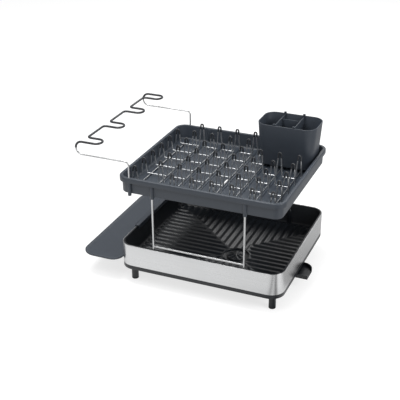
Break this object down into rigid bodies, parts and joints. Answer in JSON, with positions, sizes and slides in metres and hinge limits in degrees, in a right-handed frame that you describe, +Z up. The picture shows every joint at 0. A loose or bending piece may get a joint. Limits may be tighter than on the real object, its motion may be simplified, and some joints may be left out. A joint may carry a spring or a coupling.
{
  "type": "two-tier dish rack",
  "caption": "Two-tier dish rack: ribbed lower tray in a steel band on feet, upper tray on wire legs with plate loops, cutlery caddy, stemware rail, side drip tray and swivel spout.",
  "frame": {"origin": "on the surface that the rack stands on, under the middle of its whole outline", "axes": "+X to the right, away from the drip tray and stemware rail; +Y to the back; +Z up"},
  "size_m": [0.543, 0.366, 0.3645],
  "materials": {
    "black_plastic": "fine moulded grain",
    "slate_plastic": "fine moulded grain",
    "brushed_band": "brushed along the band",
    "leg_wire": "satin",
    "rack_wire": "bright",
    "black_coating": "satin dip coating",
    "pad_rubber": "matte"
  },
  "bodies": {
    "base": {"base_frame": "black_plastic", "steel_band": "brushed_band", "lower_tray": "black_plastic", "spout_clip": "black_plastic", "front_leg_frame": "leg_wire", "rear_leg_frame": "leg_wire", "foot_front_left": "black_plastic", "foot_front_right": "black_plastic", "foot_rear_left": "black_plastic", "foot_rear_right": "black_plastic", "foot_pad_front_left": "pad_rubber", "foot_pad_front_right": "pad_rubber", "foot_pad_rear_left": "pad_rubber", "foot_pad_rear_right": "pad_rubber"},
    "spout": {"swivel_spout": "black_plastic"},
    "strainer": {"drain_strainer": "black_plastic"},
    "drip_tray": {"drip_tray": "slate_plastic"},
    "upper_tier": {"upper_tray": "slate_plastic"},
    "plate_rack": {"plate_row_1": "rack_wire", "plate_row_2": "rack_wire", "plate_row_3": "rack_wire", "plate_row_4": "rack_wire", "plate_row_5": "rack_wire", "plate_row_6": "rack_wire", "plate_row_7": "rack_wire", "plate_row_1_tips": "black_coating", "plate_row_2_tips": "black_coating", "plate_row_3_tips": "black_coating", "plate_row_4_tips": "black_coating", "plate_row_5_tips": "black_coating", "plate_row_6_tips": "black_coating", "plate_row_7_tips": "black_coating", "plate_tie_wires": "rack_wire"},
    "caddy": {"cutlery_caddy": "slate_plastic"},
    "divider": {"caddy_divider": "slate_plastic"},
    "stemware_rack": {"stemware_arm_front": "leg_wire", "stemware_arm_rear": "leg_wire", "stemware_rail": "black_coating"}
  },
  "joints": [
    {"name": "spout_swivel", "type": "hinge", "parent": "base", "child": "spout", "pos_m": [0.085, -0.038, 0.036], "axis": [0, 0, 1], "range_deg": [-25, 270]},
    {"name": "strainer_lift", "type": "slide", "parent": "base", "child": "strainer", "axis": [0, 0, 1], "range_m": [0, 0.05]},
    {"name": "drip_tray_lift", "type": "slide", "parent": "base", "child": "drip_tray", "axis": [0, 0, 1], "range_m": [0, 0.04]},
    {"name": "upper_tier_lift", "type": "slide", "parent": "base", "child": "upper_tier", "axis": [0, 0, 1], "range_m": [0, 0.05]},
    {"name": "plate_rack_lift", "type": "slide", "parent": "upper_tier", "child": "plate_rack", "axis": [0, 0, 1], "range_m": [0, 0.06]},
    {"name": "caddy_lift", "type": "slide", "parent": "plate_rack", "child": "caddy", "axis": [0, 0, 1], "range_m": [0, 0.12]},
    {"name": "divider_lift", "type": "slide", "parent": "caddy", "child": "divider", "axis": [0, 0, 1], "range_m": [0, 0.1]},
    {"name": "stemware_lift", "type": "slide", "parent": "upper_tier", "child": "stemware_rack", "axis": [0, 0, 1], "range_m": [0, 0.06]}
  ]
}
